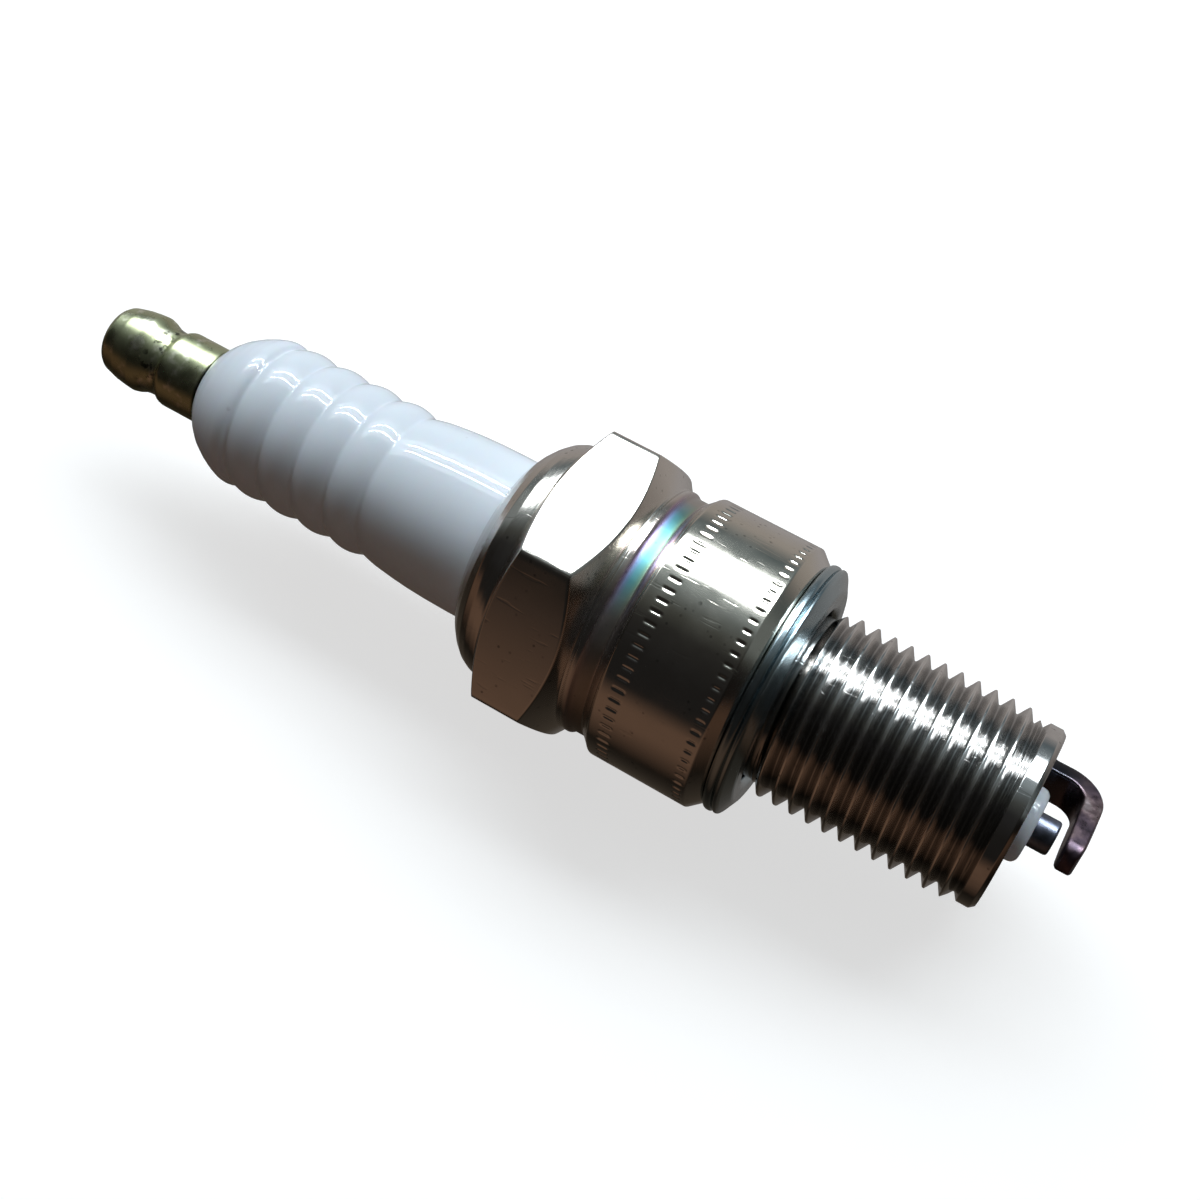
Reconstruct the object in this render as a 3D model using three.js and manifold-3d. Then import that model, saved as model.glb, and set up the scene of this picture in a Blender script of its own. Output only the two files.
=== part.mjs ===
// Spark plug, M14 x 1.25 with a 19 mm reach and a 20.8 mm hex. Millimetres, +X along the plug's axis
// towards the firing tip, +Z up with a hex flat uppermost, origin on the axis at the seat plane.
import * as THREE from 'three';
import { mergeVertices } from 'three/addons/utils/BufferGeometryUtils.js';
import Module from 'manifold-3d';

// Driving dimensions.
const HEX_ACROSS_FLATS = 20.8;
const HEX_START = -18.0;
const HEX_END = -11.5;
const HEX_EDGE_START = -16.6;
const HEX_EDGE_END = -13.25;
const CHAMFER_RADIUS = 9.65;
const LIP_EDGE = -21.3;
const GROOVE_RADIUS = 9.24;
const GROOVE_START = -10.94;
const GROOVE_END = -9.43;
const BARREL_RADIUS = 10.08;
const BARREL_START = -8.58;
const BARREL_END = -1.03;
const SEAT_RADIUS = 9.15;
const THREAD_RADIUS = 7.0;
const THREAD_ROOT = 6.2;
const THREAD_PITCH = 1.25;
const THREAD_START = 2.1;
const THREAD_END = 17.4;
const CREST_AT = 3.95;
const CREST_ANGLE = THREE.MathUtils.degToRad(120);
const THREAD_CORE = 5.8;
const PILOT_RADIUS = 6.7;
const REACH = 19.0;
const SHANK_BORE = 5.0;
const CAVITY_RADIUS = 8.0;

const INSULATOR_TOP = -47.3;
const INSULATOR_TIP = 19.95;
const INSULATOR_RADIUS = 6.3;
const RIB_CREST_RADIUS = 5.93;
const RIB_VALLEY_RADIUS = 5.6;
const FIRST_VALLEY = -42.45;
const LAST_VALLEY = -30.75;
const VALLEY_COUNT = 5;
const FLANGE_RADIUS = 7.7;
const NOSE_RADIUS = 2.7;
const CORE_BORE = 2.15;
const ELECTRODE_BORE = 1.3;

const TERMINAL_TOP = -57.45;
const TERMINAL_RADIUS = 3.1;
const TERMINAL_COLLAR = 3.05;
const STUD_RADIUS = 1.95;

const ELECTRODE_RADIUS = 1.25;
const ELECTRODE_TIP = 21.47;
const SPARK_GAP = 0.6;
const STRAP_THICKNESS = 1.4;
const STRAP_WIDTH = 2.7;
const STRAP_RADIUS = 5.72;
const STRAP_BEND = 2.2;
const STRAP_REACH = 1.65;
const STRAP_TURN = THREE.MathUtils.degToRad(-22);

const GASKET_THICKNESS = 1.7;
const GASKET_RADIUS = 9.5;
const GASKET_BORE = 6.6;
const GASKET_FACE_BORE = 7.15;

const CLEARANCE = 0.05;
const SEGMENTS = 32;
const THREAD_STEPS = 24;

const wasm = await Module();
wasm.setup();

// A [x, r] outline spun round the X axis. The outline runs from the terminal end to the firing tip on
// the outside, and either ends on the axis at both ends or closes on itself.
function spun(outline, segments = SEGMENTS) {
  const points = outline.map(([x, r]) => new THREE.Vector2(r, -x)).reverse();
  const lathe = new THREE.LatheGeometry(points, segments);
  return bare(lathe.rotateZ(Math.PI / 2));
}

// A ring or tube: outer outline one way, inner outline back, then closed.
function ring(outer, inner, segments = SEGMENTS) {
  const outline = [...outer, ...inner.slice().reverse()];
  return spun([...outline, outline[0]], segments);
}

function bare(geometry) {
  const copy = geometry.index ? geometry.clone() : mergeVertices(geometry);
  copy.deleteAttribute('normal');
  copy.deleteAttribute('uv');
  return dropFlatTriangles(mergeVertices(copy, 1e-5));
}

// Triangles that meet the axis collapse to lines, and are dropped.
function dropFlatTriangles(geometry) {
  const index = geometry.index.array;
  const kept = [];
  for (let i = 0; i < index.length; i += 3) {
    const [a, b, c] = [index[i], index[i + 1], index[i + 2]];
    if (a !== b && b !== c && c !== a) kept.push(a, b, c);
  }
  geometry.setIndex(kept);
  return geometry;
}

function solid(geometry) {
  return new wasm.Manifold(new wasm.Mesh({
    numProp: 3,
    vertProperties: new Float32Array(geometry.attributes.position.array),
    triVerts: new Uint32Array(geometry.index.array),
  }));
}

function shape(manifold) {
  const mesh = manifold.getMesh();
  const geometry = new THREE.BufferGeometry();
  geometry.setAttribute('position', new THREE.BufferAttribute(new Float32Array(mesh.vertProperties), 3));
  geometry.setIndex(Array.from(mesh.triVerts));
  return geometry;
}

function steps(from, to, count, point) {
  return Array.from({ length: count + 1 }, (_, i) => point(from + ((to - from) * i) / count));
}

// A screw thread as a closed solid: a helical ridge whose turns share their edges, closed at each end by
// a fan to the axis. It runs longer than the thread, and is trimmed by its envelope.
function threadRidge(from, to) {
  const profile = [[0, THREAD_ROOT], [0.44, THREAD_RADIUS], [0.56, THREAD_RADIUS]];
  const turns = Math.ceil((to - from) / THREAD_PITCH) + 2;
  const phase = ((CREST_AT - from) / THREAD_PITCH - 0.5) % 1;
  const start = from + THREAD_PITCH * (phase - 1) - (THREAD_PITCH * CREST_ANGLE) / (2 * Math.PI);
  const columns = turns * THREAD_STEPS;
  const positions = [];
  for (let i = 0; i <= columns + THREAD_STEPS; i += 1) {
    const angle = (i / THREAD_STEPS) * 2 * Math.PI;
    for (const [along, radius] of profile) {
      const x = start + THREAD_PITCH * (i / THREAD_STEPS + along);
      positions.push(x, radius * Math.cos(angle), radius * Math.sin(angle));
    }
  }
  const at = (i, k) => (k < profile.length ? i * profile.length + k : (i + THREAD_STEPS) * profile.length);
  const index = [];
  for (let i = 0; i < columns; i += 1) {
    for (let k = 0; k < profile.length; k += 1) {
      const [a, b, c, d] = [at(i, k), at(i + 1, k), at(i + 1, k + 1), at(i, k + 1)];
      index.push(a, b, c, a, c, d);
    }
  }
  const first = positions.length / 3;
  positions.push(start - THREAD_PITCH, 0, 0);
  positions.push(start + THREAD_PITCH * (turns + 2), 0, 0);
  const rim = (i) => [
    ...Array.from({ length: THREAD_STEPS }, (_, j) => at(i + j, 0)),
    ...profile.map((_, k) => at(i, profile.length - k)),
  ];
  const fan = (loop, apex, flip) => loop.forEach((a, j) => {
    const b = loop[(j + 1) % loop.length];
    index.push(...(flip ? [apex, a, b] : [apex, b, a]));
  });
  fan(rim(0), first, false);
  fan(rim(columns), first + 1, true);
  const geometry = new THREE.BufferGeometry();
  geometry.setAttribute('position', new THREE.Float32BufferAttribute(positions, 3));
  geometry.setIndex(index);
  return dropUnused(geometry);
}

function dropUnused(geometry) {
  const old = geometry.attributes.position;
  const places = new Map();
  const positions = [];
  const index = Array.from(geometry.index.array, (v) => {
    if (!places.has(v)) {
      places.set(v, places.size);
      positions.push(old.getX(v), old.getY(v), old.getZ(v));
    }
    return places.get(v);
  });
  const tidy = new THREE.BufferGeometry();
  tidy.setAttribute('position', new THREE.Float32BufferAttribute(positions, 3));
  tidy.setIndex(index);
  return tidy;
}

// Steel shell: crimped lip, hex, thin groove, barrel, seat, threaded shank, stepped bore.
function shellGeometry() {
  const lip = [
    [LIP_EDGE, 6.6], [LIP_EDGE + 0.15, 7.0], [-20.7, 7.55], [-20.1, 8.12], [-19.4, 8.7],
    [-18.7, 9.2], [HEX_START, CHAMFER_RADIUS],
  ];
  const grooveAndBarrel = [
    [HEX_END, CHAMFER_RADIUS], [-11.2, 9.36], [GROOVE_START, GROOVE_RADIUS], [GROOVE_END, GROOVE_RADIUS],
    [BARREL_START, BARREL_RADIUS], [BARREL_END, BARREL_RADIUS], [0, SEAT_RADIUS], [0, THREAD_ROOT],
  ];
  const shank = [
    [THREAD_START + 0.2, THREAD_ROOT], [THREAD_START + 0.2, THREAD_CORE],
    [THREAD_END - 0.1, THREAD_CORE], [THREAD_END - 0.1, THREAD_ROOT], [THREAD_END + 0.3, PILOT_RADIUS],
    [REACH - 0.3, PILOT_RADIUS], [REACH, PILOT_RADIUS - 0.25],
  ];
  const outer = [...lip, ...grooveAndBarrel, ...shank];
  const core = solid(spun([[LIP_EDGE, 0], ...outer, [REACH, 0]]));

  const corner = HEX_ACROSS_FLATS / Math.sqrt(3);
  const hexagon = new THREE.Shape(Array.from({ length: 6 }, (_, i) => {
    const angle = (i * Math.PI) / 3;
    return new THREE.Vector2(corner * Math.cos(angle), corner * Math.sin(angle));
  }));
  const prism = new THREE.ExtrudeGeometry(hexagon, { depth: HEX_END - HEX_START, bevelEnabled: false });
  prism.rotateX(Math.PI / 2);
  prism.rotateZ(Math.PI / 2);
  prism.translate(HEX_START, 0, 0);
  const envelope = spun([
    [HEX_START, 0], [HEX_START, CHAMFER_RADIUS], [HEX_EDGE_START, corner + CLEARANCE],
    [HEX_EDGE_END, corner + CLEARANCE], [HEX_END, CHAMFER_RADIUS], [HEX_END, 0],
  ], SEGMENTS * 2);
  const hex = solid(bare(prism)).intersect(solid(envelope));

  const threadEnvelope = spun([
    [THREAD_START, 0], [THREAD_START, THREAD_ROOT - CLEARANCE], [THREAD_START + 0.8, THREAD_RADIUS + CLEARANCE],
    [THREAD_END - 0.8, THREAD_RADIUS + CLEARANCE], [THREAD_END, THREAD_ROOT], [THREAD_END, 0],
  ]);
  const thread = solid(threadRidge(THREAD_START, THREAD_END)).intersect(solid(threadEnvelope));

  const bore = solid(spun([
    [LIP_EDGE - 1, 0], [LIP_EDGE - 1, 6.45], [-20.6, 6.45], [-20.2, 7.0], [-19.1, CAVITY_RADIUS],
    [-4.6, CAVITY_RADIUS], [-2.5, 5.9], [-1.5, 5.9], [-0.4, 4.8], [1.5, 4.8], [2.2, SHANK_BORE],
    [REACH + 1, SHANK_BORE], [REACH + 1, 0],
  ]));
  return shape(core.add(hex).add(thread).subtract(bore));
}

// Glazed insulator: domed top, shallow ribs, plain waist, flange inside the shell, long nose.
function insulatorGeometry() {
  const dome = [[INSULATOR_TOP, 3.15], [-47.1, 3.45], [-46.6, 4.05], [-45.9, 4.7], [-45.0, 5.25],
    [-44.2, 5.62], [-43.35, 5.86]];
  const pitch = (LAST_VALLEY - FIRST_VALLEY) / (VALLEY_COUNT - 1);
  const depth = RIB_CREST_RADIUS - RIB_VALLEY_RADIUS;
  const ribs = [];
  for (let i = 0; i < VALLEY_COUNT; i += 1) {
    const valley = FIRST_VALLEY + i * pitch;
    ribs.push([valley, RIB_VALLEY_RADIUS]);
    if (i < VALLEY_COUNT - 1) {
      ribs.push(...[0.2, 0.5, 0.8].map((t) => [
        valley + t * pitch,
        RIB_VALLEY_RADIUS + depth * Math.sqrt(Math.sin(Math.PI * t)),
      ]));
    }
  }
  const waist = [[-29.9, 5.75], [-29.0, 5.95], [-27.7, 6.1], [-25.5, 6.25], [-23.2, INSULATOR_RADIUS],
    [-15.0, INSULATOR_RADIUS]];
  const flange = [[-14.2, FLANGE_RADIUS], [-6.4, FLANGE_RADIUS], [-4.6, 5.6], [-2.4, 5.6], [-1.3, 4.5]];
  const nose = [[2.5, 4.4], [INSULATOR_TIP - 1.5, NOSE_RADIUS + 0.1], [INSULATOR_TIP - 0.3, NOSE_RADIUS],
    [INSULATOR_TIP, NOSE_RADIUS - 0.3]];
  const bore = [[INSULATOR_TOP, CORE_BORE], [-6.0, CORE_BORE], [-5.4, ELECTRODE_BORE],
    [INSULATOR_TIP, ELECTRODE_BORE]];
  return ring([...dome, ...ribs, ...waist, ...flange, ...nose], bore);
}

// Screw-on terminal nut with a blind bore.
function terminalNutGeometry() {
  const base = INSULATOR_TOP - CLEARANCE;
  return spun([
    [TERMINAL_TOP, 0], [TERMINAL_TOP, 1.05], [-57.3, 1.3], [-56.6, 2.42], [-56.3, 2.63], [-55.2, 2.93],
    [-54.4, 3.04], [-53.7, TERMINAL_RADIUS], [-53.4, 3.0], [-52.7, 2.73], [-52.2, 2.68], [-51.6, 2.74],
    [-51.0, TERMINAL_COLLAR], [base, TERMINAL_COLLAR], [base, STUD_RADIUS + 2 * CLEARANCE],
    [-55.6, STUD_RADIUS + 2 * CLEARANCE], [-55.6, 0],
  ]);
}

function terminalStudGeometry() {
  return spun([
    [-55.4, 0], [-55.4, STUD_RADIUS - 0.4], [-55.0, STUD_RADIUS],
    [-24.2, STUD_RADIUS], [-23.8, STUD_RADIUS - 0.4], [-23.8, 0],
  ]);
}

function plugOf(from, to, radius) {
  return spun([[from, 0], [from, radius], [to, radius], [to, 0]]);
}

// Round-section wire ring, closed on itself.
function packingRingGeometry(x, radius, section) {
  const outline = steps(Math.PI, -Math.PI, 10, (a) => [
    x + section * Math.cos(a),
    radius + section * Math.sin(a),
  ]);
  outline[outline.length - 1] = outline[0];
  return spun(outline);
}

function talcGeometry() {
  const inner = INSULATOR_RADIUS + CLEARANCE;
  const outer = CAVITY_RADIUS - CLEARANCE;
  return ring([[-18.25, outer], [-16.4, outer]], [[-18.25, inner], [-16.4, inner]]);
}

// Conical steel washer between the insulator's seat and the shell's ledge.
function seatWasherGeometry() {
  return ring([[-1.85, 5.8], [-0.95, 4.95]], [[-2.2, 5.5], [-1.2, 4.62]]);
}

// Folded crush gasket, captive behind the thread.
function gasketGeometry() {
  const from = CLEARANCE;
  const rim = from + 1.2;
  const to = from + GASKET_THICKNESS;
  return ring(
    [[from, GASKET_RADIUS - 0.3], [from + 0.2, GASKET_RADIUS], [from + 0.55, GASKET_RADIUS],
      [from + 0.72, GASKET_RADIUS - 0.2], [from + 0.88, GASKET_RADIUS - 0.05],
      [rim - 0.15, GASKET_RADIUS - 0.1], [rim, GASKET_RADIUS - 0.3], [to, GASKET_RADIUS - 1.3]],
    [[from, GASKET_BORE], [to - 0.3, GASKET_BORE], [to, GASKET_FACE_BORE]],
  );
}

// Nickel sheath with a blind core hole open at its inner end.
function centreElectrodeGeometry() {
  const core = 0.7;
  return spun([
    [17.6, 0], [17.6, core], [-7.2, core], [-7.2, 2.05], [-6.1, 2.05], [-5.5, ELECTRODE_RADIUS],
    [ELECTRODE_TIP - 0.12, ELECTRODE_RADIUS], [ELECTRODE_TIP, ELECTRODE_RADIUS - 0.12], [ELECTRODE_TIP, 0],
  ]);
}

// Flat nickel strap bent over the centre electrode.
function groundElectrodeGeometry() {
  const inner = ELECTRODE_TIP + SPARK_GAP;
  const outer = inner + STRAP_THICKNESS;
  const high = STRAP_RADIUS + STRAP_THICKNESS / 2;
  const low = STRAP_RADIUS - STRAP_THICKNESS / 2;
  const bendInner = STRAP_BEND - STRAP_THICKNESS / 2;
  const bendOuter = STRAP_BEND + STRAP_THICKNESS / 2;
  const outline = new THREE.Shape();
  outline.moveTo(REACH + CLEARANCE, low);
  outline.lineTo(inner - bendInner, low);
  outline.absarc(inner - bendInner, low - bendInner, bendInner, Math.PI / 2, 0, true);
  outline.lineTo(inner, -STRAP_REACH);
  outline.lineTo(outer, -STRAP_REACH);
  outline.lineTo(outer, high - bendOuter);
  outline.absarc(outer - bendOuter, high - bendOuter, bendOuter, 0, Math.PI / 2, false);
  outline.lineTo(REACH + CLEARANCE, high);
  outline.closePath();
  const strap = new THREE.ExtrudeGeometry(outline, { depth: STRAP_WIDTH, bevelEnabled: false, curveSegments: 8 });
  return bare(strap.translate(0, 0, -STRAP_WIDTH / 2));
}

const plug = new THREE.Group();

function piece(name, geometry, color, roughness, metalness) {
  const material = new THREE.MeshStandardMaterial({ color, roughness, metalness });
  const mesh = new THREE.Mesh(geometry, material);
  mesh.name = name;
  plug.add(mesh);
  return mesh;
}

piece('terminal_nut', terminalNutGeometry(), 0xa79a5c, 0.25, 1);
piece('terminal_stud', terminalStudGeometry(), 0x9a9a98, 0.35, 1);
piece('insulator', insulatorGeometry(), 0xe6e9f2, 0.12, 0);
piece('upper_packing_ring', packingRingGeometry(-18.95, 7.15, 0.62), 0x8a8a88, 0.4, 1);
piece('talc_ring', talcGeometry(), 0xd8d2c4, 0.9, 0);
piece('lower_packing_ring', packingRingGeometry(-15.65, 7.15, 0.62), 0x8a8a88, 0.4, 1);
piece('shell', shellGeometry(), 0xb9b5ab, 0.2, 1);
piece('seat_packing_washer', seatWasherGeometry(), 0x8a8a88, 0.4, 1);
piece('gasket', gasketGeometry(), 0xa9b3b6, 0.3, 1);
piece('upper_glass_seal', plugOf(-23.75, -20.25, CORE_BORE - CLEARANCE), 0x3c4650, 0.3, 0);
piece('resistor', plugOf(-20.2, -10.7, CORE_BORE - CLEARANCE), 0x2a2624, 0.8, 0);
piece('lower_glass_seal', plugOf(-10.65, -7.25, CORE_BORE - CLEARANCE), 0x3c4650, 0.3, 0);
piece('copper_core', plugOf(-7.2, 17.55, 0.7 - CLEARANCE), 0xb87348, 0.4, 1);
piece('centre_electrode', centreElectrodeGeometry(), 0x4b4d55, 0.35, 1);
piece('ground_electrode', groundElectrodeGeometry(), 0x4a3f42, 0.45, 1).rotation.x = STRAP_TURN;

export default plug;
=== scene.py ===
import math

import bmesh
import bpy
import numpy as np
from mathutils import Matrix, Vector


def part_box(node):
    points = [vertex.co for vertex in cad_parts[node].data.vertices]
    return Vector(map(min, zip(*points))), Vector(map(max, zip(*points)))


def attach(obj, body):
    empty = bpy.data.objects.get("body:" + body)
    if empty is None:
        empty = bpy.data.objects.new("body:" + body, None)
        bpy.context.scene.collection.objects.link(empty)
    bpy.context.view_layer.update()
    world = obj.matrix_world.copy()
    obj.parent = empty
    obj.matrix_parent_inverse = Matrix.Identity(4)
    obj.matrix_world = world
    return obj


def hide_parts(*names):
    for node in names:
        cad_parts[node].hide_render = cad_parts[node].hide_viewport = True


# Spark plug, M14 x 1.25. The axis is X, the firing tip is at +X, and the seat plane is x = 0.
# The plug's own lengths are written in millimetres. The floor, camera and lamps are placed in metres.
MM = 0.001

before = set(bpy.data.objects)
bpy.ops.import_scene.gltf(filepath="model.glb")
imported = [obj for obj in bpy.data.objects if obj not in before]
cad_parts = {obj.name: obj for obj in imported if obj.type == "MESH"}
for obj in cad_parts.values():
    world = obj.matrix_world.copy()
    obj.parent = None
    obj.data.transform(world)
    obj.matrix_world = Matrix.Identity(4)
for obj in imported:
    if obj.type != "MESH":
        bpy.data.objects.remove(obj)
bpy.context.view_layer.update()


# ---------------------------------------------------------------- sizes, from the frame where it has them

def span(node):
    low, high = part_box(node)
    return low / MM, high / MM


SHELL_LOW, SHELL_HIGH = span("shell")
INSULATOR_LOW, INSULATOR_HIGH = span("insulator")
NUT_LOW, NUT_HIGH = span("terminal_nut")
GASKET_LOW, GASKET_HIGH = span("gasket")
ELECTRODE_HIGH = span("centre_electrode")[1]
STRAP_HIGH = span("ground_electrode")[1]
STUD_LOW, STUD_HIGH = span("terminal_stud")

LIP_EDGE = SHELL_LOW.x
REACH = SHELL_HIGH.x
FLAT_RADIUS = SHELL_HIGH.z
INSULATOR_TOP = INSULATOR_LOW.x
INSULATOR_TIP = INSULATOR_HIGH.x
TERMINAL_TOP = NUT_LOW.x
TERMINAL_BASE = NUT_HIGH.x
ELECTRODE_TIP = ELECTRODE_HIGH.x
STRAP_OUTER = STRAP_HIGH.x
STUD_TOP = STUD_LOW.x
STUD_FOOT = STUD_HIGH.x

HEX_START = -18.0
HEX_END = -11.5
HEX_EDGE_START = -16.6
HEX_EDGE_END = -13.25
HEX_TURNED_RADIUS = 12.01
CHAMFER_RADIUS = 9.65
HEX_EDGE_ROUNDING = 0.14
FLAT_CROWN = 0.14
GROOVE_RADIUS = 9.24
GROOVE_END = -9.43
BARREL_RADIUS = 10.08
BARREL_START = -8.58
BARREL_END = -1.03
JOIN_X = BARREL_START - 0.2
JOIN_RADIUS = 9.86
GROOVE_TINT_SPAN = (-11.1, -8.9)
SEAT_RADIUS = 9.15
SEAT_BORE = 4.8
NECK_RADIUS = 6.2
CAVITY_RADIUS = 8.0
LIP_BORE = 6.45
SHANK_BORE = 5.0

DASH_COUNT = 76
DASH_ROWS = ((-7.8, -6.85), (-1.88, -1.2))
DASH_DEPTH = 0.08
DASH_WIDTH = 0.3
DASH_END_SLOPE = 0.12

THREAD_RADIUS = 7.0
THREAD_ROOT = 6.2
THREAD_PITCH = 1.25
THREAD_START = 2.1
THREAD_END = 17.4
CREST_AT = 3.95
CREST_ANGLE = math.radians(120)
THREAD_FLAT = 0.07
PILOT_RADIUS = 6.7
ROOT_FLAT = 0.06
ROOT_FILLET = 0.08
RUN_OUT_SLOPE = 1.1

INSULATOR_RADIUS = 6.3
RIB_CREST_RADIUS = 5.96
RIB_VALLEY_RADIUS = 5.56
FIRST_VALLEY = -42.45
LAST_VALLEY = -30.75
VALLEY_COUNT = 5
RIB_POINTS = 14
RIB_FULLNESS = 0.85
NOSE_RADIUS = 2.7
CORE_BORE = 2.15
ELECTRODE_BORE = 1.3
ELECTRODE_RADIUS = 1.25

TERMINAL_RADIUS = 3.1
TERMINAL_COLLAR = 3.05
TERMINAL_BORE = 2.05
TERMINAL_NECK_SPAN = (-53.2, -50.8)

STUD_RADIUS = 1.95
STUD_ROOT = 1.64
STUD_PITCH = 0.7
STUD_THREAD_END = -48.2
STUD_THREAD_FLAT = 0.05

GASKET_RADIUS = 9.5
GASKET_BORE = 6.6

STRAP_THICKNESS = 1.4
STRAP_WIDTH = 2.7
STRAP_RADIUS = 5.72
STRAP_BEND = 2.2
STRAP_REACH = 1.65
STRAP_TURN = math.radians(-22)
STRAP_FLARE = 0.10
STRAP_TAPER = 0.10
STRAP_TAPER_FROM = 0.72
STRAP_END_EASE = (1.0, 0.97, 0.88, 0.66)


# ---------------------------------------------------------------- mesh making

def mesh_object(name, verts, faces, material):
    mesh = bpy.data.meshes.new(name)
    verts = np.asarray(verts, float) * MM
    faces = np.asarray(faces, np.int32)
    mesh.vertices.add(len(verts))
    mesh.vertices.foreach_set("co", verts.ravel())
    corners = faces.shape[1]
    mesh.loops.add(faces.size)
    mesh.loops.foreach_set("vertex_index", faces.ravel())
    mesh.polygons.add(len(faces))
    mesh.polygons.foreach_set("loop_start", np.arange(len(faces), dtype=np.int32) * corners)
    mesh.update(calc_edges=True)
    mesh.validate()
    mesh.polygons.foreach_set("use_smooth", np.ones(len(mesh.polygons), bool))
    piece = bpy.data.objects.new(name, mesh)
    bpy.context.scene.collection.objects.link(piece)
    mesh.materials.append(material)
    return piece


def soften(outline, step, passes=2):
    """The same outline with points at even steps, and its corners eased by averaging neighbours."""
    points = np.asarray(outline, float)
    lengths = np.linalg.norm(np.diff(points, axis=0), axis=1)
    along = np.concatenate([[0], np.cumsum(lengths)])
    count = max(2, int(round(along[-1] / step)) + 1)
    at = np.linspace(0, along[-1], count)
    even = np.stack([np.interp(at, along, points[:, k]) for k in (0, 1)], axis=1)
    for _ in range(passes):
        even[1:-1] = (even[:-2] + 2 * even[1:-1] + even[2:]) / 4
    return even


def spun(name, outer, inner, material, columns, shape=None):
    """A closed body of revolution about X: outer outline, then inner outline back. An inner outline of
    None closes the body on the axis. shape(x, r, angle) may move the outer surface's radius."""
    angle = np.arange(columns) * 2 * math.pi / columns
    rows = [np.broadcast_to(outer[:, 0:1], (len(outer), columns))]
    radii = np.broadcast_to(outer[:, 1:2], (len(outer), columns))
    radii = [shape(rows[0], radii, angle[None, :]) if shape else radii]
    if inner is not None:
        back = inner[::-1]
        rows.append(np.broadcast_to(back[:, 0:1], (len(back), columns)))
        radii.append(np.broadcast_to(back[:, 1:2], (len(back), columns)))
    x = np.concatenate(rows)
    r = np.concatenate(radii)
    verts = np.stack([x, r * np.cos(angle), r * np.sin(angle)], axis=-1).reshape(-1, 3)
    count = len(x)
    loops = count if inner is not None else count - 1
    i = np.arange(loops)[:, None]
    j = np.arange(columns)[None, :]
    here, there = i * columns, ((i + 1) % count) * columns
    right = (j + 1) % columns
    quads = np.stack([here + j, here + right, there + right, there + j], axis=-1).reshape(-1, 4)
    piece = mesh_object(name, verts, quads, material)
    if inner is None:
        close_on_axis(piece, outer, columns)
    return piece


def close_on_axis(piece, outer, columns):
    """Fans from the axis close the two ends of an outline."""
    bm = bmesh.new()
    bm.from_mesh(piece.data)
    rim = list(bm.verts)
    for row, x in ((0, outer[0, 0]), (len(outer) - 1, outer[-1, 0])):
        loop = rim[row * columns:(row + 1) * columns]
        centre = bm.verts.new((x * MM, 0, 0))
        for k in range(columns):
            pair = (loop[k], loop[(k + 1) % columns])
            ends = pair if row else pair[::-1]
            bm.faces.new((ends[1], ends[0], centre)).smooth = True
    bmesh.ops.recalc_face_normals(bm, faces=bm.faces)
    bm.to_mesh(piece.data)
    bm.free()


def smooth_least(a, b, width):
    """The lesser of two values, with the crossing rounded over the given width."""
    mix = np.clip(0.5 + 0.5 * (b - a) / width, 0, 1)
    return b * (1 - mix) + a * mix - width * mix * (1 - mix)


# ---------------------------------------------------------------- node trees

# The colour Mix node's sockets share their names with its other kinds, so they are taken by number.
MIX_FACTOR = 0
MIX_COLOUR_A = 6
MIX_COLOUR_B = 7
MIX_COLOUR_OUT = 2


class Nodes:
    """Short calls for the texture nodes of one node tree. An input may be a socket or a plain value."""

    def __init__(self, tree, coordinates):
        self.tree = tree
        self.place = tree.nodes.new("ShaderNodeTexCoord").outputs[coordinates]

    def feed(self, socket, source):
        """Set a socket to a plain value, or link another node's output to it."""
        if isinstance(source, (int, float, tuple)):
            socket.default_value = source
        else:
            self.tree.links.new(source, socket)

    def node(self, kind, inputs=(), **settings):
        made = self.tree.nodes.new(kind)
        for key, value in settings.items():
            setattr(made, key, value)
        for socket, source in dict(inputs).items():
            self.feed(made.inputs[socket], source)
        return made

    def noise(self, scale, detail=4, rough=0.55, stretch=(1, 1, 1), shift=(0, 0, 0)):
        mapped = self.node("ShaderNodeMapping", {"Vector": self.place, "Scale": stretch, "Location": shift})
        made = self.node("ShaderNodeTexNoise", {"Vector": mapped.outputs[0], "Scale": scale,
                                                "Detail": detail, "Roughness": rough})
        return made.outputs["Fac"]

    def spots(self, scale, shift=(0, 0, 0)):
        mapped = self.node("ShaderNodeMapping", {"Vector": self.place, "Location": shift})
        made = self.node("ShaderNodeTexVoronoi", {"Vector": mapped.outputs[0], "Scale": scale})
        return made.outputs["Distance"]

    def ramp(self, source, stops):
        made = self.node("ShaderNodeValToRGB", {"Fac": source})
        elements = made.color_ramp.elements
        while len(elements) < len(stops):
            elements.new(0.5)
        for element, (at, colour) in zip(elements, stops):
            element.position = at
            element.color = (*colour, 1) if isinstance(colour, tuple) else (colour, colour, colour, 1)
        return made.outputs["Color"]

    def blend(self, factor, a, b, mode="MIX"):
        a, b = ((*source, 1) if isinstance(source, tuple) else source for source in (a, b))
        inputs = {MIX_FACTOR: factor, MIX_COLOUR_A: a, MIX_COLOUR_B: b}
        made = self.node("ShaderNodeMix", inputs, data_type="RGBA", blend_type=mode)
        return made.outputs[MIX_COLOUR_OUT]

    def range(self, source, low, high, to_low, to_high):
        made = self.node("ShaderNodeMapRange", {"Value": source, "From Min": low, "From Max": high,
                                                "To Min": to_low, "To Max": to_high})
        return made.outputs[0]

    def maths(self, operation, a, b=0.0):
        return self.node("ShaderNodeMath", {0: a, 1: b}, operation=operation).outputs[0]

    def axis(self, letter):
        return self.node("ShaderNodeSeparateXYZ", {"Vector": self.place}).outputs[letter]


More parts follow.
